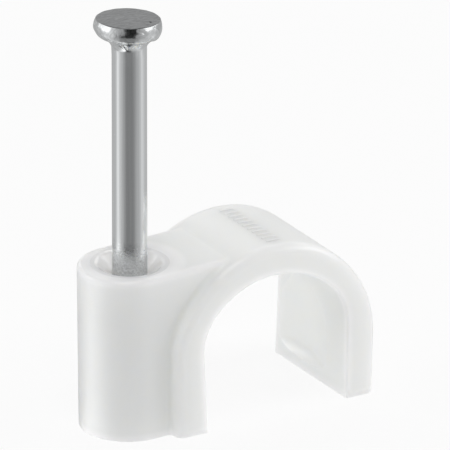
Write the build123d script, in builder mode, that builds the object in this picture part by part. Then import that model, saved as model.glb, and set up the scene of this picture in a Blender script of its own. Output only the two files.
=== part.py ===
from build123d import *
import os
from math import atan2, cos, degrees, radians, sin, sqrt, tan

os.makedirs("parts", exist_ok=True)

# Round cable clip with its steel nail, in millimetres.
# The nail's axis is X = Y = 0, the cable runs along Y, and the wall is the plane Z = 0.

# Nail: 2 mm wire with an upset head, held as supplied with its point just inside the clip
NAIL_DIA = 2.0
NAIL_LENGTH = 24.7
TIP_HEIGHT = 0.25
POINT_LENGTH = 3.0
POINT_FLAT = 0.08
HEAD_DIA = 3.88
HEAD_RIM_WIDTH = 0.16
HEAD_RIM_DROP = 0.53
HEAD_UNDER_RADIUS = 0.6
HEAD_UNDER_ANGLE = 16
HEAD_THROAT_RADIUS = 0.38
# The head was struck a little off centre, and its top leans towards the far side of the free leg
HEAD_OFFSET_X = -0.09
HEAD_OFFSET_Y = -0.05
HEAD_LEAN = 4.8
HEAD_LEAN_TOWARDS = 38

# Nail boss: an upright block with a round nose that leans a little outwards
BLOCK_TOP = 9.87
NOSE_RADIUS_BASE = 2.80
NOSE_RADIUS_TOP = 2.74
NOSE_CENTRE_BASE = -0.14
NOSE_CENTRE_TOP = -0.31
BLOCK_EDGE_RADIUS = 0.25
# The block ends inside the crown, between its top and the channel
BLOCK_REACH = 5.9

# Bore and dished seat for the nail's head
BORE_CLEARANCE = 0.05
SEAT_DIA = 3.86
SEAT_LIP_RADIUS = 0.3
SEAT_THROAT_RADIUS = 0.8

# Strap: an arch over the cable, with a leg on each side of the channel
STRAP_CENTRE = 7.52
STRAP_DEPTH = 7.55
STRAP_SPREAD = 0.02
STRAP_DRAFT = 1.5
ARCH_RADIUS = 6.62
ARCH_TOP = 10.35
ARCH_LEAN = 0.19
SHOULDER_X = 1.04
SHOULDER_RADIUS = 3.0
CHANNEL_HALF = 4.69
CHANNEL_TOP = 8.59
CROWN_RADIUS = 5.28
CORNER_RADIUS = 3.25
CHANNEL_LEAN = 0.13
STRAP_EDGE_RADIUS = 0.5
CHANNEL_EDGE_RADIUS = 0.15
ROOT_RADIUS = 0.3

# Shallow hollow inside the free leg, which leaves a lip at the foot
HOLLOW_RADIUS = 8.2
HOLLOW_DEPTH = 0.45
HOLLOW_Y = 0.9
HOLLOW_LIP = 0.57
HOLLOW_FOOT_RADIUS = 1.0
HOLLOW_CROWN_RADIUS = 4.4
HOLLOW_CROWN_ARC = 55
HOLLOW_SPRING = 3.85
HOLLOW_ARC = 46

nail_r = NAIL_DIA / 2
bore_r = nail_r + BORE_CLEARANCE
seat_r = SEAT_DIA / 2
head_rim_r = HEAD_DIA / 2
head_top_r = head_rim_r - HEAD_RIM_WIDTH
strap_half = STRAP_DEPTH / 2

# Where the strap's arcs meet, measured from the middle of the channel
crown_z = CHANNEL_TOP - CROWN_RADIUS
corner_x = CHANNEL_HALF - CORNER_RADIUS
corner_z = crown_z + sqrt((CROWN_RADIUS - CORNER_RADIUS) ** 2 - corner_x ** 2)
corner_turn = degrees(atan2(corner_z - crown_z, corner_x))
channel_foot = CHANNEL_HALF - CHANNEL_LEAN
arch_z = ARCH_TOP - ARCH_RADIUS
shoulder_x = SHOULDER_X + SHOULDER_RADIUS - STRAP_CENTRE
shoulder_z = arch_z + sqrt((ARCH_RADIUS - SHOULDER_RADIUS) ** 2 - shoulder_x ** 2)
shoulder_turn = degrees(atan2(shoulder_z - arch_z, -shoulder_x))

# Boss block, its top edge rounded before it joins the strap
with BuildPart() as block:
    for height, nose_r, nose_x in (
        (0, NOSE_RADIUS_BASE, NOSE_CENTRE_BASE),
        (BLOCK_TOP, NOSE_RADIUS_TOP, NOSE_CENTRE_TOP),
    ):
        with BuildSketch(Plane.XY.offset(height)):
            with Locations((nose_x, 0)):
                Circle(nose_r)
                Rectangle(BLOCK_REACH - nose_x, 2 * nose_r, align=(Align.MIN, Align.CENTER))
    loft(ruled=True)
    top_edges = block.faces().sort_by(Axis.Z)[-1].edges()
    fillet(top_edges.sort_by(Axis.X)[:-1], BLOCK_EDGE_RADIUS)

# Plane of the strap's side outlines, with its own X from the middle of the channel
side_plane = Plane((STRAP_CENTRE, 0, 0), x_dir=(1, 0, 0), z_dir=(0, -1, 0))

with BuildPart() as clip_body:
    # Arch outline, solid for now
    with BuildSketch(side_plane):
        with BuildLine():
            arch_arc = 180 - shoulder_turn
            arch = CenterArc((0, arch_z), ARCH_RADIUS, 0, arch_arc)
            shoulder = CenterArc((shoulder_x, shoulder_z), SHOULDER_RADIUS, arch_arc, shoulder_turn)
            Polyline(shoulder @ 1, (SHOULDER_X - STRAP_CENTRE, 0), (ARCH_RADIUS - ARCH_LEAN, 0), arch @ 0)
        make_face()
    extrude(amount=STRAP_DEPTH, both=True)

    # Front and back are drafted towards the crown and spread towards the free leg
    with BuildSketch():
        spread = 2 * ARCH_RADIUS * STRAP_SPREAD
        with Locations((STRAP_CENTRE, 0)):
            Polygon(
                (-2 * ARCH_RADIUS, spread - strap_half),
                (2 * ARCH_RADIUS, -spread - strap_half),
                (2 * ARCH_RADIUS, spread + strap_half),
                (-2 * ARCH_RADIUS, strap_half - spread),
                align=None,
            )
    extrude(amount=2 * ARCH_TOP, taper=STRAP_DRAFT, mode=Mode.INTERSECT)
    ends = clip_body.faces().filter_by(GeomType.PLANE).sort_by(Axis.Y)
    end_edges = ends[0].edges() + ends[-1].edges()
    fillet(end_edges.filter_by_position(Axis.Z, 0, ARCH_TOP, inclusive=(False, True)), STRAP_EDGE_RADIUS)

    # The boss block joins the arch with a small concave radius
    add(block.part)
    fillet(clip_body.edges(Select.NEW), ROOT_RADIUS)

    # Cable channel: flat crown, rounded corners and legs that lean in a little at the foot
    with BuildSketch(side_plane):
        with BuildLine():
            right_corner = CenterArc((corner_x, corner_z), CORNER_RADIUS, 0, corner_turn)
            left_corner = CenterArc((-corner_x, corner_z), CORNER_RADIUS, 180 - corner_turn, corner_turn)
            CenterArc((0, crown_z), CROWN_RADIUS, corner_turn, 180 - 2 * corner_turn)
            Polyline(left_corner @ 1, (-channel_foot, 0), (channel_foot, 0), right_corner @ 0)
        make_face()
    extrude(amount=STRAP_DEPTH, both=True, mode=Mode.SUBTRACT)
    fillet(clip_body.edges(Select.NEW).filter_by(Axis.Y, reverse=True), CHANNEL_EDGE_RADIUS)

    # Nail bore with its conical seat, rounded at the throat and at the lip
    with BuildSketch(Plane.XZ):
        with BuildLine():
            cone_foot = (bore_r, BLOCK_TOP - seat_r + bore_r)
            Polyline((0, 0), (bore_r, 0), cone_foot, (seat_r, BLOCK_TOP), (0, BLOCK_TOP), close=True)
        make_face()
        fillet(vertices().sort_by(Axis.Y)[2], SEAT_THROAT_RADIUS)
    revolve(axis=Axis.Z, mode=Mode.SUBTRACT)
    lip = clip_body.faces().filter_by(GeomType.PLANE).sort_by(Axis.Z)[-1].inner_wires()[0].edges()
    fillet(lip, SEAT_LIP_RADIUS)

    # Hollow in the free leg: a shallow round-footed barrel that fades out up the arch
    barrel_x = STRAP_CENTRE + channel_foot + HOLLOW_DEPTH - HOLLOW_RADIUS
    start = radians(HOLLOW_ARC / 2)
    hollow_plane = Plane(
        (barrel_x, HOLLOW_Y, 0), x_dir=(cos(start), -sin(start), 0), z_dir=(-sin(start), -cos(start), 0)
    )
    foot_z = HOLLOW_LIP + sqrt(HOLLOW_FOOT_RADIUS ** 2 - (HOLLOW_FOOT_RADIUS - HOLLOW_DEPTH) ** 2)
    with BuildSketch(hollow_plane):
        with BuildLine():
            upper_centre = (HOLLOW_RADIUS - HOLLOW_CROWN_RADIUS, HOLLOW_SPRING)
            upper = CenterArc(upper_centre, HOLLOW_CROWN_RADIUS, 0, HOLLOW_CROWN_ARC)
            lower = CenterArc((HOLLOW_RADIUS - HOLLOW_FOOT_RADIUS, foot_z), HOLLOW_FOOT_RADIUS, -90, 90)
            Line(lower @ 1, upper @ 0)
            inner_x = STRAP_CENTRE - barrel_x
            Polyline(lower @ 0, (inner_x, (lower @ 0).Y), (inner_x, (upper @ 1).Y), upper @ 1)
        make_face()
    revolve(axis=Axis((barrel_x, HOLLOW_Y, 0), (0, 0, 1)), revolution_arc=HOLLOW_ARC, mode=Mode.SUBTRACT)

clip_body.part.label = "clip_body"
export_step(clip_body.part, "parts/clip_body.step")

with BuildPart() as nail:
    # Straight shank
    with BuildSketch(Plane.XY.offset(TIP_HEIGHT)):
        Circle(nail_r)
    extrude(amount=NAIL_LENGTH - HEAD_RIM_DROP)

    # Upset head: flat top, rounded rim and a blunt underside that runs into the shank
    lean = radians(HEAD_LEAN)
    towards = radians(HEAD_LEAN_TOWARDS)
    head_plane = Plane(
        (HEAD_OFFSET_X, HEAD_OFFSET_Y, TIP_HEIGHT + NAIL_LENGTH),
        x_dir=(cos(towards) * cos(lean), sin(towards) * cos(lean), -sin(lean)),
        z_dir=(sin(towards), -cos(towards), 0),
    )
    with BuildSketch(head_plane):
        with BuildLine():
            rim_centre = (head_top_r, -HEAD_RIM_DROP)
            rim = EllipticalCenterArc(rim_centre, HEAD_RIM_WIDTH, HEAD_RIM_DROP, arc_size=90)
            under_centre = (head_rim_r - HEAD_UNDER_RADIUS, -HEAD_RIM_DROP)
            under = CenterArc(under_centre, HEAD_UNDER_RADIUS, 0, HEAD_UNDER_ANGLE - 90)
            core_r = nail_r / 2
            core_foot = (under @ 1).Y - ((under @ 1).X - core_r) * tan(radians(HEAD_UNDER_ANGLE))
            Polyline(under @ 1, (core_r, core_foot), (0, core_foot), (0, 0), rim @ 1)
        make_face()
    revolve(axis=Axis(head_plane.origin, head_plane.y_dir))
    throat = nail.edges(Select.NEW)
    fillet(throat, HEAD_THROAT_RADIUS)

    # Four cut facets make the point
    point_plane = Plane((0, 0, TIP_HEIGHT), x_dir=(1, 0, 0), z_dir=(0, -1, 0))
    for quarter in range(4):
        with BuildSketch(point_plane.rotated((0, 0, 45 + 90 * quarter))):
            Polygon(
                (POINT_FLAT / 2, 0),
                (nail_r, POINT_LENGTH),
                (NAIL_DIA, POINT_LENGTH),
                (NAIL_DIA, 0),
                align=None,
            )
        extrude(amount=NAIL_DIA, both=True, mode=Mode.SUBTRACT)

nail.part.label = "nail"
export_step(nail.part, "parts/nail.step")
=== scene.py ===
# Round cable clip with its steel nail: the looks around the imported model.
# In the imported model's frame the nail's axis is X = Y = 0, the cable runs along Y, and the object stands
# on the wall plane Z = 0. The object's sizes are written in millimetres, and MM turns them to metres. The
# studio's sizes are in metres.
from math import cos, exp, pi, radians, sin, sqrt

import bmesh
import bpy
from mathutils import Matrix, Vector, noise


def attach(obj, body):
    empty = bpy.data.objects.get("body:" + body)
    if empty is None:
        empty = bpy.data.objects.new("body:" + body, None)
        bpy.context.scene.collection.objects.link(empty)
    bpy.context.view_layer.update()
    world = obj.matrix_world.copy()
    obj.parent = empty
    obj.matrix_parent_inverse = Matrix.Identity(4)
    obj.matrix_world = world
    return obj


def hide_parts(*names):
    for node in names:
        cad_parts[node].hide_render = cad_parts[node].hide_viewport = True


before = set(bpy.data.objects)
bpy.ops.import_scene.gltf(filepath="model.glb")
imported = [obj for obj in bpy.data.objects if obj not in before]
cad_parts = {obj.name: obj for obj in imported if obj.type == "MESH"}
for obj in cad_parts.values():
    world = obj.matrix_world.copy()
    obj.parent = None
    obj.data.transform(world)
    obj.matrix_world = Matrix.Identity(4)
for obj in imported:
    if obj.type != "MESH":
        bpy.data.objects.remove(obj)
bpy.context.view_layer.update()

MM = 0.001

# Helpers

# Edges that turn by more than this stay sharp
SHARP_ANGLE = radians(14)
WHITE = (1, 1, 1, 1)


def linear(code):
    """Linear colour of an sRGB hex code."""
    levels = [int(code[i:i + 2], 16) / 255 for i in (0, 2, 4)]
    return [c / 12.92 if c <= 0.04045 else ((c + 0.055) / 1.055) ** 2.4 for c in levels] + [1]


def add(tree, kind, inputs=None, links=None, **settings):
    """Adds a node, sets its fields and input values, and links other nodes' outputs to its inputs."""
    node = tree.nodes.new(kind)
    for name, value in settings.items():
        setattr(node, name, value)
    for socket, value in (inputs or {}).items():
        node.inputs[socket].default_value = value
    for socket, output in (links or {}).items():
        tree.links.new(output, node.inputs[socket])
    return node


def new_material(name):
    """An empty node material and its node tree."""
    material = bpy.data.materials.new(name)
    material.use_nodes = True
    material.node_tree.nodes.clear()
    return material, material.node_tree


def paint(obj, material):
    """Puts the material in every slot of the piece."""
    if not obj.data.materials:
        obj.data.materials.append(material)
    for slot in obj.material_slots:
        slot.material = material


def new_piece(name, bm, material):
    """Makes the mesh a piece at the origin, with its sharp edges kept and the rest smooth."""
    mesh = bpy.data.meshes.new(name)
    bm.to_mesh(mesh)
    bm.free()
    mesh.shade_smooth()
    mesh.set_sharp_from_angle(angle=SHARP_ANGLE)
    piece = bpy.data.objects.new(name, mesh)
    bpy.context.scene.collection.objects.link(piece)
    paint(piece, material)
    return piece


# Materials

# Distances from the nail's axis at which the seat, and the thin wall round it, start and are complete. Both
# get a painted glow: their colour is painted whiter
SEAT_RIM = (2.4 * MM, 2.1 * MM)
WALL_RIM = (3.3 * MM, 2.7 * MM)
# Heights at which the boss's top and the nail's head start and are complete
BOSS_TOP = (9.5 * MM, 9.8 * MM)
HEAD_START = (23.1 * MM, 23.4 * MM)
# The same for the speckled foot of the shank, after clouds have raised the height by up to FOOT_RAGGED
FOOT_START = (12.7 * MM, 11.6 * MM)
FOOT_RAGGED = 2.4 * MM
# How many times further light wanders in the seat than elsewhere
SEAT_WANDER = 4


def white_polyethylene(name, depth):
    """White polyethylene, injection moulded in a polished tool: milky and slightly see-through, so that edges
    and thin walls glow and the thick boss stays greyer, under a soft waxy gloss. Edges, the seat and the wall
    round it also have a painted glow: their colour is painted whiter. Depth is how far light wanders in it."""
    material, tree = new_material(name)
    place = add(tree, "ShaderNodeTexCoord").outputs["Object"]
    height = add(tree, "ShaderNodeSeparateXYZ", links={0: place}).outputs["Z"]
    level = add(tree, "ShaderNodeVectorMath", {1: (1, 1, 0)}, {0: place}, operation="MULTIPLY").outputs[0]
    from_axis = add(tree, "ShaderNodeVectorMath", links={0: level}, operation="LENGTH").outputs["Value"]
    seat = add(
        tree, "ShaderNodeMapRange", {"From Min": SEAT_RIM[0], "From Max": SEAT_RIM[1]}, {"Value": from_axis},
    ).outputs[0]

    # Slow sink waves, 2.5 mm apart, and a fine tool grain of 0.12 mm
    sink = add(
        tree, "ShaderNodeTexNoise", {"Scale": 1 / (2.5 * MM), "Detail": 1.0}, {"Vector": place},
    ).outputs[0]
    grain = add(
        tree, "ShaderNodeTexNoise", {"Scale": 1 / (0.12 * MM), "Detail": 2.0}, {"Vector": place},
    ).outputs[0]
    waves = add(tree, "ShaderNodeBump", {"Distance": 0.012 * MM}, {"Height": sink}).outputs[0]
    skin = add(
        tree, "ShaderNodeBump", {"Distance": 0.0012 * MM}, {"Height": grain, "Normal": waves},
    ).outputs[0]

    # The gloss dulls and clears a little from place to place, and the pin that moulds the seat is polished
    # brighter than the rest of the tool
    gloss = add(
        tree, "ShaderNodeMapRange", {"From Min": 0.3, "From Max": 0.7, "To Min": 0.33, "To Max": 0.39},
        {"Value": sink},
    ).outputs[0]
    shine = add(tree, "ShaderNodeMix", {3: 0.18}, {0: seat, 2: gloss}, data_type="FLOAT").outputs[0]

    # Edges get a painted glow: their colour is painted whiter, standing in for light that leaves by both
    # faces of an edge. Solid is 1 with 0.5 mm of plastic behind
    solid = add(
        tree, "ShaderNodeAmbientOcclusion", {"Distance": 0.5 * MM}, inside=True, only_local=True, samples=8,
    ).outputs["AO"]
    edge = add(tree, "ShaderNodeMapRange", {"From Min": 0.97, "From Max": 0.60}, {"Value": solid}).outputs[0]
    # The seat and the thin wall round it get the same painted glow
    near = add(
        tree, "ShaderNodeMapRange", {"From Min": WALL_RIM[0], "From Max": WALL_RIM[1]}, {"Value": from_axis},
    ).outputs[0]
    top = add(
        tree, "ShaderNodeMapRange", {"From Min": BOSS_TOP[0], "From Max": BOSS_TOP[1]}, {"Value": height},
    ).outputs[0]
    wall = add(tree, "ShaderNodeMath", links={0: near, 1: top}, operation="MULTIPLY").outputs[0]
    edge_seat_glow = add(tree, "ShaderNodeMath", links={0: edge, 1: seat}, operation="MAXIMUM").outputs[0]
    painted_glow = add(tree, "ShaderNodeMath", links={0: edge_seat_glow, 1: wall}, operation="MAXIMUM").outputs[0]
    # Base colour EFF0EF, painted whiter up to FDFDFD where the painted glow lies
    colour = add(
        tree, "ShaderNodeMix", {6: linear("EFF0EF"), 7: linear("FDFDFD")}, {0: painted_glow}, data_type="RGBA",
    ).outputs[2]

    # Light from all round the boss fills the seat
    wander = add(
        tree, "ShaderNodeMapRange", {"To Min": depth, "To Max": SEAT_WANDER * depth}, {"Value": seat},
    ).outputs[0]
    body = add(
        tree, "ShaderNodeBsdfPrincipled",
        {"IOR": 1.51, "Subsurface Weight": 1.0, "Subsurface Radius": (1.0, 0.97, 0.91)},
        {"Base Color": colour, "Roughness": shine, "Normal": skin, "Subsurface Scale": wander},
    )
    add(tree, "ShaderNodeOutputMaterial", links={"Surface": body.outputs[0]})
    return material


def zinc_plated_wire():
    """Bright zinc plating on drawn steel wire: a cool silver grey with fine die lines along the wire,
    cloudy where the head was struck, and speckled where the plating pooled low on the shank."""
    material, tree = new_material("zinc_plated_drawn_wire")
    place = add(tree, "ShaderNodeTexCoord").outputs["Object"]
    height = add(tree, "ShaderNodeSeparateXYZ", links={0: place}).outputs["Z"]

    # Die lines 0.12 mm apart, drawn out to 10 mm along the wire
    along = add(
        tree, "ShaderNodeMapping", {"Scale": (1 / (0.12 * MM), 1 / (0.12 * MM), 1 / (10 * MM))},
        {"Vector": place},
    ).outputs[0]
    lines = add(tree, "ShaderNodeTexNoise", {"Scale": 1.0, "Detail": 3.0}, {"Vector": along}).outputs[0]
    # Zinc grain, 0.13 mm across
    grain = add(
        tree, "ShaderNodeTexNoise", {"Scale": 1 / (0.13 * MM), "Detail": 3.0, "Distortion": 0.5},
        {"Vector": place},
    ).outputs[0]
    # Wiped clouds on the struck head, 0.9 mm long and 0.3 mm wide
    wiped = add(
        tree, "ShaderNodeMapping",
        {"Rotation": (0, 0, radians(32)), "Scale": (1 / (0.9 * MM), 1 / (0.3 * MM), 1 / (0.5 * MM))},
        {"Vector": place},
    ).outputs[0]
    clouds = add(
        tree, "ShaderNodeTexNoise", {"Scale": 1.0, "Detail": 5.0, "Roughness": 0.6, "Distortion": 2.0},
        {"Vector": wiped},
    ).outputs[0]

    head = add(
        tree, "ShaderNodeMapRange", {"From Min": HEAD_START[0], "From Max": HEAD_START[1]}, {"Value": height},
    ).outputs[0]
    # The speckled foot ends in a ragged line
    ragged = add(
        tree, "ShaderNodeMath", {1: FOOT_RAGGED}, {0: clouds, 2: height}, operation="MULTIPLY_ADD",
    ).outputs[0]
    foot = add(
        tree, "ShaderNodeMapRange", {"From Min": FOOT_START[0], "From Max": FOOT_START[1]}, {"Value": ragged},
    ).outputs[0]

    # Tone: faint along the die lines, clouded on the head, mottled at the foot
    drawn_tone = add(
        tree, "ShaderNodeMapRange", {"From Min": 0.3, "From Max": 0.7, "To Min": 0.94, "To Max": 1.04},
        {"Value": lines},
    ).outputs[0]
    head_tone = add(
        tree, "ShaderNodeMapRange", {"From Min": 0.32, "From Max": 0.68, "To Min": 0.74, "To Max": 1.10},
        {"Value": clouds},
    ).outputs[0]
    foot_tone = add(
        tree, "ShaderNodeMapRange", {"From Min": 0.3, "From Max": 0.7, "To Min": 0.62, "To Max": 0.98},
        {"Value": grain},
    ).outputs[0]
    # Roughness: smooth wire, a hazier head, and a pitted foot
    fine = add(tree, "ShaderNodeMapRange", {"To Min": 0.09, "To Max": 0.17}, {"Value": lines}).outputs[0]
    coarse = add(tree, "ShaderNodeMapRange", {"To Min": 0.08, "To Max": 0.24}, {"Value": clouds}).outputs[0]
    pitted = add(tree, "ShaderNodeMapRange", {"To Min": 0.22, "To Max": 0.48}, {"Value": grain}).outputs[0]
    tone, rough = drawn_tone, fine
    for zone, zone_tone, zone_rough in ((head, head_tone, coarse), (foot, foot_tone, pitted)):
        tone = add(
            tree, "ShaderNodeMix", links={0: zone, 2: tone, 3: zone_tone}, data_type="FLOAT",
        ).outputs[0]
        rough = add(
            tree, "ShaderNodeMix", links={0: zone, 2: rough, 3: zone_rough}, data_type="FLOAT",
        ).outputs[0]
    colour = add(
        tree, "ShaderNodeVectorMath", {0: linear("DADCDD")[:3]}, {"Scale": tone}, operation="SCALE",
    ).outputs[0]

    drawn = add(tree, "ShaderNodeBump", {"Strength": 0.6, "Distance": 0.002 * MM}, {"Height": lines})
    speckled = add(
        tree, "ShaderNodeBump", {"Distance": 0.006 * MM},
        {"Strength": foot, "Height": grain, "Normal": drawn.outputs[0]},
    )
    struck = add(
        tree, "ShaderNodeBump", {"Distance": 0.010 * MM},
        {"Strength": head, "Height": clouds, "Normal": speckled.outputs[0]},
    )
    metal = add(
        tree, "ShaderNodeBsdfPrincipled", {"Metallic": 1.0},
        {"Base Color": colour, "Roughness": rough, "Normal": struck.outputs[0]},
    )
    add(tree, "ShaderNodeOutputMaterial", links={"Surface": metal.outputs[0]})
    return material


polyethylene = white_polyethylene("white_moulded_polyethylene", 2.0 * MM)
# The raised bars are one with the moulding. Light that went deeper would be lost in their hidden underside
bar_polyethylene = white_polyethylene("white_moulded_polyethylene_bars", 0.03 * MM)
zinc = zinc_plated_wire()

# Camera, at the photograph's angle

AZIMUTH = radians(-31.860)
ELEVATION = radians(23.852)
DISTANCE = 1150 * MM
AIM = Vector((6.5666, 0.3527, 10.5056)) * MM
# The photograph's width in pixels, how many of them show a millimetre at the aim, and the width it shows
PHOTO_WIDTH = 450
PIXELS_PER_MM = 17.625
FRAME_WIDTH = PHOTO_WIDTH / PIXELS_PER_MM * MM
SENSOR = 36


def place_facing_aim(obj, azimuth, elevation, distance):
    """Places a camera or a lamp in that direction from the aim, turned to face the aim."""
    towards = Vector((sin(azimuth) * cos(elevation), -cos(azimuth) * cos(elevation), sin(elevation)))
    obj.location = AIM + towards * distance
    obj.rotation_mode = "QUATERNION"
    obj.rotation_quaternion = (-towards).to_track_quat("-Z", "Y")
    bpy.context.scene.collection.objects.link(obj)


camera = bpy.data.objects.new("camera", bpy.data.cameras.new("camera"))
camera.data.sensor_width = SENSOR
camera.data.lens = SENSOR * DISTANCE / FRAME_WIDTH
camera.data.clip_start = 0.1
camera.data.clip_end = 10
place_facing_aim(camera, AZIMUTH, ELEVATION, DISTANCE)
bpy.context.scene.camera = camera

# Nail, in place of its plain node

# Heights of the tip and of the head's top above the wall plane
TIP = 0.25
HEAD_TOP = 24.95
SHANK_RADIUS = 1.0
POINT_LENGTH = 3.0
POINT_FLAT = 0.04
HEAD_RADIUS = 1.955
HEAD_FLAT_RADIUS = 1.845
HEAD_OFFSET = Vector((-0.09, -0.05, 0))
HEAD_LEAN = radians(4.8)
HEAD_LEAN_TOWARDS = radians(38)
# Heights, from the head's top, at which the lean and the marks start and are complete
LEAN_START = -1.95
LEAN_END = -1.3

# Profile corners of the nail: radius, height from the head's top, and how far the corner is rounded
NAIL_PROFILE = (
    (0.0, 0.0, 0.0),
    (HEAD_FLAT_RADIUS, 0.0, 0.06),
    (HEAD_RADIUS, -0.34, 0.175),
    (HEAD_RADIUS, -0.982, 0.42),
    (SHANK_RADIUS, -1.30, 0.43),
    (SHANK_RADIUS, TIP - HEAD_TOP, 0.0),
    (0.0, TIP - HEAD_TOP, 0.0),
)
ROUNDING_STEPS = 10
# Rings are close together above FINE_ABOVE, where the marks go, and wide apart down the shank
FINE_ABOVE = -2.0
FINE_STEP = 0.07
SHANK_STEP = 0.5
TURN_STEPS = 192
MERGE_GAP = 1e-4

# The struck head is a little out of true. It sinks this far, give or take waves: their depth, and how many
# there are to the millimetre
HEAD_SINK = 0.025
HEAD_WAVES = ((0.020, 1.2), (0.012, 2.6))
# Marks of the heading tool: start, end, width and depth. A negative depth stands proud
HEAD_MARKS = (
    ((0.76, -1.13, 0.0), (0.77, -1.14, 0.0), 0.085, 0.060),
    ((0.59, -1.09, 0.0), (0.60, -1.09, 0.0), 0.05, 0.015),
    ((1.10, -0.92, 0.0), (1.22, -0.90, 0.0), 0.09, 0.016),
    ((1.30, -1.02, 0.0), (1.42, -0.84, 0.0), 0.10, 0.020),
    ((-0.45, -1.84, -0.16), (-0.10, -1.93, -0.32), 0.08, 0.022),
    ((-1.74, -0.69, -0.88), (-1.54, -1.00, -0.93), 0.045, 0.028),
    ((-1.54, -1.00, -0.93), (-1.28, -1.24, -1.00), 0.045, 0.028),
    ((-0.93, -0.86, -1.23), (-0.61, -0.84, -1.53), 0.045, 0.032),
    ((1.33, -0.83, -1.12), (1.55, -0.55, -1.05), 0.40, -0.10),
    ((1.20, -0.75, -1.28), (0.90, -0.56, -1.62), 0.32, -0.15),
    ((-1.50, 0.94, -1.10), (-1.62, 0.80, -1.02), 0.32, 0.08),
    ((-1.68, 1.00, -0.42), (-1.60, 1.12, -0.52), 0.55, -0.035),
)


def head_share(height):
    """0 on the shank and 1 on the head, with a smooth step between."""
    share = min(1, max(0, (height - LEAN_START) / (LEAN_END - LEAN_START)))
    return share * share * (3 - 2 * share)


def mark_depth(point):
    """How deep the heading tool's marks are at a point of the head."""
    depth_here = 0
    for start, end, width, depth in HEAD_MARKS:
        run = Vector(end) - Vector(start)
        along = min(1, max(0, (point - Vector(start)).dot(run) / run.length_squared))
        gap = (point - Vector(start) - run * along).length
        depth_here += depth * exp(-(gap / width) ** 2)
    return depth_here


def wire_nail():
    """The nail: drawn wire with an upset head, struck a little off centre, and a four-sided cut point."""
    bm = bmesh.new()
    corners = [bm.verts.new((radius, 0, height)) for radius, height, rounding in NAIL_PROFILE]
    for pair in zip(corners, corners[1:]):
        bm.edges.new(pair)
    for radius, height, rounding in NAIL_PROFILE:
        if rounding:
            corner = min(bm.verts, key=lambda vert: (vert.co - Vector((radius, 0, height))).length)
            bmesh.ops.bevel(
                bm, geom=[corner], offset=rounding, segments=ROUNDING_STEPS, profile=0.5, affect="VERTICES",
                material=-1,
            )
    for edge in bm.edges[:]:
        middle = (edge.verts[0].co.z + edge.verts[1].co.z) / 2
        cuts = int(edge.calc_length() / (FINE_STEP if middle > FINE_ABOVE else SHANK_STEP))
        if cuts:
            bmesh.ops.subdivide_edges(bm, edges=[edge], cuts=cuts)
    bmesh.ops.spin(
        bm, geom=bm.verts[:] + bm.edges[:], cent=(0, 0, 0), axis=(0, 0, 1), angle=2 * pi,
        steps=TURN_STEPS, use_merge=True,
    )
    bmesh.ops.remove_doubles(bm, verts=bm.verts, dist=MERGE_GAP)
    bmesh.ops.recalc_face_normals(bm, faces=bm.faces)

    # Point: four cuts, each closed at once
    slope = (SHANK_RADIUS - POINT_FLAT) / POINT_LENGTH
    for quarter in range(4):
        side = Matrix.Rotation(radians(45 + 90 * quarter), 3, "Z") @ Vector((1, 0, 0))
        bmesh.ops.bisect_plane(
            bm, geom=bm.verts[:] + bm.edges[:] + bm.faces[:],
            plane_co=side * POINT_FLAT + Vector((0, 0, TIP - HEAD_TOP)),
            plane_no=(side - Vector((0, 0, slope))).normalized(), clear_outer=True,
        )
        bmesh.ops.holes_fill(bm, edges=[edge for edge in bm.edges if edge.is_boundary], sides=0)

    # The struck metal is not quite true, the tool marked it, and the head leans
    bm.normal_update()
    lean = Matrix.Rotation(HEAD_LEAN, 3, Vector((-sin(HEAD_LEAN_TOWARDS), cos(HEAD_LEAN_TOWARDS), 0)))
    for vert in bm.verts:
        waves = sum(depth * noise.noise(vert.co * rate) for depth, rate in HEAD_WAVES)
        vert.co -= vert.normal * (HEAD_SINK - waves + mark_depth(vert.co)) * head_share(vert.co.z)
        vert.co = vert.co.lerp(lean @ vert.co + HEAD_OFFSET, head_share(vert.co.z))
    bmesh.ops.translate(bm, vec=(0, 0, HEAD_TOP), verts=bm.verts)
    bmesh.ops.scale(bm, vec=(MM, MM, MM), verts=bm.verts)
    return new_piece("wire_nail", bm, zinc)


nail = wire_nail()
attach(nail, "nail")
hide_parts("nail")

# Crown ribs: plain raised bars across the cable's way, on top of the arch

ARCH_CENTRE = Vector((7.52, 0, 3.73))
ARCH_RADIUS = 6.62
RIB_COUNT = 11
RIB_PITCH = 0.5
RIB_X = 8.0
RIB_SIZE = Vector((1.0, 0.18, 0.14))
RIB_RISE = 0.028
RIB_ROUNDING = 0.06
# Edges of a bar that turn by more than this are its rims
RIM_ANGLE = radians(60)
# How many short lengths a bar is divided into, so that it can bend over the arch
RIB_LENGTHS = 10


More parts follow.
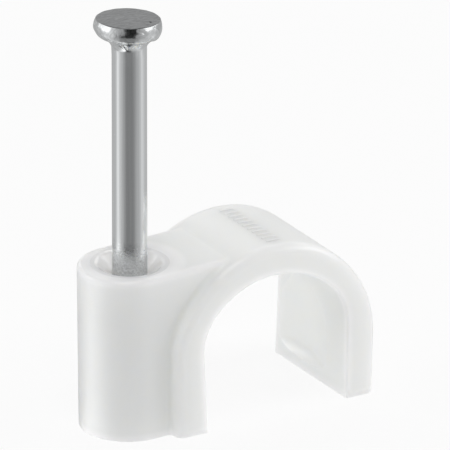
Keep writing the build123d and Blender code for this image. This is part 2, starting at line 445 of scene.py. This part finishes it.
def crown_ribs():
    """Plain bars that stand just proud of the crown, rounded by the polished tool."""
    bm = bmesh.new()
    for i in range(RIB_COUNT):
        foot = bmesh.ops.create_grid(bm, x_segments=RIB_LENGTHS, y_segments=1, size=0.5)["verts"]
        faces = list({face for vert in foot for face in vert.link_faces})
        raised = bmesh.ops.extrude_face_region(bm, geom=faces)["geom"]
        top = [item for item in raised if isinstance(item, bmesh.types.BMVert)]
        bmesh.ops.translate(bm, vec=(0, 0, 1), verts=top)
        across = (i - (RIB_COUNT - 1) / 2) * RIB_PITCH / RIB_SIZE.y
        bmesh.ops.translate(bm, vec=(0, across, 0), verts=foot + top)
    bmesh.ops.scale(bm, vec=RIB_SIZE, verts=bm.verts)
    bmesh.ops.recalc_face_normals(bm, faces=bm.faces)
    rims = [edge for edge in bm.edges if edge.calc_face_angle(0) > RIM_ANGLE]
    bmesh.ops.bevel(
        bm, geom=rims, offset=RIB_ROUNDING, segments=3, profile=0.5, affect="EDGES", material=-1,
        clamp_overlap=True,
    )
    # Bent over the arch
    for vert in bm.verts:
        x = RIB_X + vert.co.x
        arch = ARCH_CENTRE.z + sqrt(ARCH_RADIUS ** 2 - (x - ARCH_CENTRE.x) ** 2)
        vert.co = Vector((x, vert.co.y, arch + vert.co.z - RIB_SIZE.z + RIB_RISE))
    bmesh.ops.scale(bm, vec=(MM, MM, MM), verts=bm.verts)
    return new_piece("crown_ribs", bm, bar_polyethylene)


ribs = crown_ribs()
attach(ribs, "clip")

paint(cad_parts["clip_body"], polyethylene)
paint(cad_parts["nail"], zinc)

# Studio: floor and world

# The floor lies this far under the object, so that the lowest faces get its glow
FLOOR_GAP = 0.03 * MM
FLOOR_HALF_WIDTH = 1.5
FLOOR_GLOW = 0.30
# The floor as seen is this part plain white, and the rest shows the object's shadow
FLOOR_WHITE = 0.88
ROOM_LIGHT = 0.056


def background_rays(tree):
    """1 for the rays that see a white background: camera, glossy and transmission rays."""
    path = add(tree, "ShaderNodeLightPath")
    total = path.outputs["Is Camera Ray"]
    for ray in ("Is Glossy Ray", "Is Transmission Ray"):
        total = add(
            tree, "ShaderNodeMath", links={0: total, 1: path.outputs[ray]}, operation="MAXIMUM",
        ).outputs[0]
    return total


def set_up(name, bm, material):
    """Places a sheet of the studio at the origin, with its material."""
    sheet = new_piece(name, bm, material)
    return sheet


def pale_floor():
    """Plain pale floor: an opal sheet, softly lit from below. The camera and reflections see it white,
    with a part of the object's shadow kept."""
    material, tree = new_material("plain_pale_floor")
    seen = background_rays(tree)
    white = add(tree, "ShaderNodeEmission", {"Color": WHITE, "Strength": 1.0})
    pale = add(tree, "ShaderNodeBsdfDiffuse", {"Color": linear("EFEFEF")})
    share = add(tree, "ShaderNodeMath", {1: FLOOR_WHITE}, {0: seen}, operation="MULTIPLY")
    top = add(
        tree, "ShaderNodeMixShader", links={0: share.outputs[0], 1: pale.outputs[0], 2: white.outputs[0]},
    )
    glow_level = add(tree, "ShaderNodeMapRange", {"To Min": FLOOR_GLOW, "To Max": 0.0}, {"Value": seen})
    glow = add(tree, "ShaderNodeEmission", {"Color": WHITE}, {"Strength": glow_level.outputs[0]})
    both = add(tree, "ShaderNodeAddShader", links={0: top.outputs[0], 1: glow.outputs[0]})
    add(tree, "ShaderNodeOutputMaterial", links={"Surface": both.outputs[0]})
    material.cycles.emission_sampling = "NONE"
    return material


bm = bmesh.new()
bmesh.ops.create_grid(bm, x_segments=1, y_segments=1, size=FLOOR_HALF_WIDTH)
bmesh.ops.translate(bm, vec=(0, 0, -FLOOR_GAP), verts=bm.verts)
floor = set_up("floor", bm, pale_floor())

world = bpy.data.worlds.new("plain_studio")
world.use_nodes = True
bpy.context.scene.world = world
tree = world.node_tree
tree.nodes.clear()
room = add(tree, "ShaderNodeBackground", {"Color": WHITE, "Strength": ROOM_LIGHT})
backdrop = add(tree, "ShaderNodeBackground", {"Color": WHITE, "Strength": 1.0})
sky = add(
    tree, "ShaderNodeMixShader",
    links={0: background_rays(tree), 1: room.outputs[0], 2: backdrop.outputs[0]},
)
add(tree, "ShaderNodeOutputWorld", links={"Surface": sky.outputs[0]})

# Studio: grey card all round, under and over the set, seen only in reflections

# Tones of the card as degrees round from the lens and brightness: the table, its raised edge, the wall,
# the lid and the skylight
TABLE_TONES = (
    (-180, 0.50), (-105, 0.60), (-95, 0.70), (-87, 1.0), (-75, 1.0), (-67, 0.75), (-45, 0.55), (-20, 0.28),
    (22, 0.28), (45, 0.45), (78, 0.7), (88, 0.85), (97, 0.85), (110, 0.65), (180, 0.50),
)
EDGE_TONES = (
    (-180, 0.40), (-110, 0.70), (-60, 0.85), (-45, 0.70), (-34, 0.45), (-25, 0.30), (-19, 0.04), (16, 0.03),
    (24, 0.20), (34, 0.45), (60, 0.60), (80, 0.75), (110, 0.60), (180, 0.40),
)
WALL_TONES = (
    (-180, 0.36), (-120, 0.36), (-60, 0.90), (-36, 0.60), (-26, 0.50), (-14, 0.35), (-7, 0.08), (0, 0.02),
    (27, 0.02), (34, 0.20), (42, 0.40), (60, 0.60), (120, 0.36), (180, 0.36),
)
LID_TONES = ((-180, 0.10), (180, 0.10))
SKYLIGHT_TONES = ((-180, 0.40), (180, 0.40))
# Sines of the height, seen from the nail's head, between which each gives way to the next
BAND_EDGES = ((-0.38, -0.33), (-0.02, 0.08), (0.62, 0.70), (0.91, 0.95))
# Close to the object the card carries a painted reflection of the left soft box, standing in for a glossy
# table, which draws the bright band down the boss. It goes round the middle of the round nose's mirror image.
# Reflections shorter than NEAR_REACH see it, and it fades from NEAR_FADE of that reach
NEAR_TONES = (
    (-180, 0.40), (-140, 0.05), (-118, 0.05), (-106, 1.3), (-95, 2.7), (-82, 2.7), (-70, 2.1), (-60, 0.90),
    (-45, 0.08), (20, 0.08), (45, 0.45), (78, 0.7), (97, 0.85), (110, 0.65), (180, 0.40),
)
NEAR_REACH = 26 * MM
NEAR_FADE = 0.92
NOSE_MIRROR = 2.0 * MM
CARD_RADIUS = 0.6
CARD_HEIGHT = 0.6
CARD_SEGMENTS = 96
# The card's bottom lies just over the object's foot plane
CARD_GAP = 0.02 * MM


def directions(tree, place, shift):
    """Directions to a place from a point, which shift moves to the origin once the lens is turned to -Y.
    Gives the way round from the lens, as a share of the whole turn, and the sine of the height."""
    turned = add(
        tree, "ShaderNodeMapping", {"Location": shift, "Rotation": (0, 0, -AZIMUTH)}, {"Vector": place},
    )
    towards = add(tree, "ShaderNodeVectorMath", links={0: turned.outputs[0]}, operation="NORMALIZE")
    axes = add(tree, "ShaderNodeSeparateXYZ", links={0: towards.outputs[0]})
    ahead = add(tree, "ShaderNodeMath", {1: -1.0}, {0: axes.outputs["Y"]}, operation="MULTIPLY")
    angle = add(
        tree, "ShaderNodeMath", links={0: axes.outputs["X"], 1: ahead.outputs[0]}, operation="ARCTAN2",
    )
    share = add(
        tree, "ShaderNodeMapRange", {"From Min": -pi, "From Max": pi}, {"Value": angle.outputs[0]},
    )
    return share.outputs[0], axes.outputs["Z"]


def grey_card():
    """Grey card: dark round the lens, light at both sides, and mid grey behind."""
    material, tree = new_material("graded_grey_card")
    place = add(tree, "ShaderNodeTexCoord").outputs["Object"]
    from_nose = directions(tree, place, (0, NOSE_MIRROR, 0))[0]
    from_head, height = directions(tree, place, (0, 0, -HEAD_TOP * MM))
    rings = []
    for tones in (NEAR_TONES, TABLE_TONES, EDGE_TONES, WALL_TONES, LID_TONES, SKYLIGHT_TONES):
        way_round = from_nose if tones is NEAR_TONES else from_head
        ramp = add(tree, "ShaderNodeValToRGB", links={"Fac": way_round})
        steps = ramp.color_ramp.elements
        while len(steps) < len(tones):
            steps.new(0.5)
        for step, (degrees_round, tone) in zip(steps, tones):
            step.position = (degrees_round + 180) / 360
            step.color = (tone, tone, tone, 1)
        rings.append(ramp.outputs["Color"])

    # Each ring gives way to the next, the near table by the length of the ray and the others by height
    length = add(tree, "ShaderNodeLightPath").outputs["Ray Length"]
    changes = [(length, NEAR_FADE * NEAR_REACH, NEAR_REACH)]
    changes += [(height, start, end) for start, end in BAND_EDGES]
    colour = rings[0]
    for (measure, start, end), ring in zip(changes, rings[1:]):
        change = add(
            tree, "ShaderNodeMapRange", {"From Min": start, "From Max": end}, {"Value": measure},
        ).outputs[0]
        colour = add(
            tree, "ShaderNodeMix", links={0: change, 6: colour, 7: ring}, data_type="RGBA",
        ).outputs[2]
    glow = add(tree, "ShaderNodeEmission", links={"Color": colour})
    add(tree, "ShaderNodeOutputMaterial", links={"Surface": glow.outputs[0]})
    material.cycles.emission_sampling = "NONE"
    return material


bm = bmesh.new()
bmesh.ops.create_cone(
    bm, cap_ends=True, segments=CARD_SEGMENTS, radius1=CARD_RADIUS, radius2=CARD_RADIUS, depth=CARD_HEIGHT,
)
bmesh.ops.translate(bm, vec=(0, 0, CARD_HEIGHT / 2 + CARD_GAP), verts=bm.verts)
card = set_up("reflection_card", bm, grey_card())
card.visible_camera = False
card.visible_diffuse = False
card.visible_transmission = False
card.visible_shadow = False

# Studio: soft boxes

BOX_DISTANCE = 0.3
# Watts for each square metre of an area lamp that shows a brightness of 1
LAMP_WATTS = 4


def lit_group(name, pieces):
    """A group of pieces, for the lamps that light nothing else."""
    group = bpy.data.collections.new(name)
    for piece in pieces:
        group.objects.link(piece)
    return group


def soft_box(name, azimuth, elevation, width, height, brightness, lit):
    """A soft box at degrees round from the lens, which lights only the pieces in lit."""
    lamp = bpy.data.lights.new(name, "AREA")
    lamp.shape = "RECTANGLE"
    lamp.size = width
    lamp.size_y = height
    lamp.energy = LAMP_WATTS * width * height * brightness
    box = bpy.data.objects.new(name, lamp)
    box.visible_camera = False
    box.light_linking.receiver_collection = lit
    place_facing_aim(box, AZIMUTH + radians(azimuth), radians(elevation), BOX_DISTANCE)


plastic = lit_group("lit_plastic", (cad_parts["clip_body"], ribs, floor))
metal = lit_group("lit_metal", (nail,))

soft_box("left_box", -100, 25, 0.22, 0.11, 2.95, plastic)
soft_box("left_front_box", -60, 13, 0.11, 0.11, 1.6, plastic)
soft_box("front_box", 0, 35, 0.11, 0.11, 1.2, plastic)
soft_box("right_box", 97, 25, 0.22, 0.11, 4.0, plastic)
soft_box("back_left_box", -157, 22, 0.11, 0.11, 0.7, plastic)
soft_box("back_right_box", 157, 22, 0.11, 0.11, 1.4, plastic)
soft_box("back_top_box", 180, 50, 0.11, 0.11, 2.9, plastic)
soft_box("top_box", 0, 75, 0.11, 0.11, 6.5, plastic)
soft_box("head_left_box", -90, 14, 0.28, 0.16, 0.7, metal)
soft_box("head_right_box", 92, 20, 0.32, 0.16, 0.95, metal)

bpy.context.scene.view_settings.view_transform = "Standard"
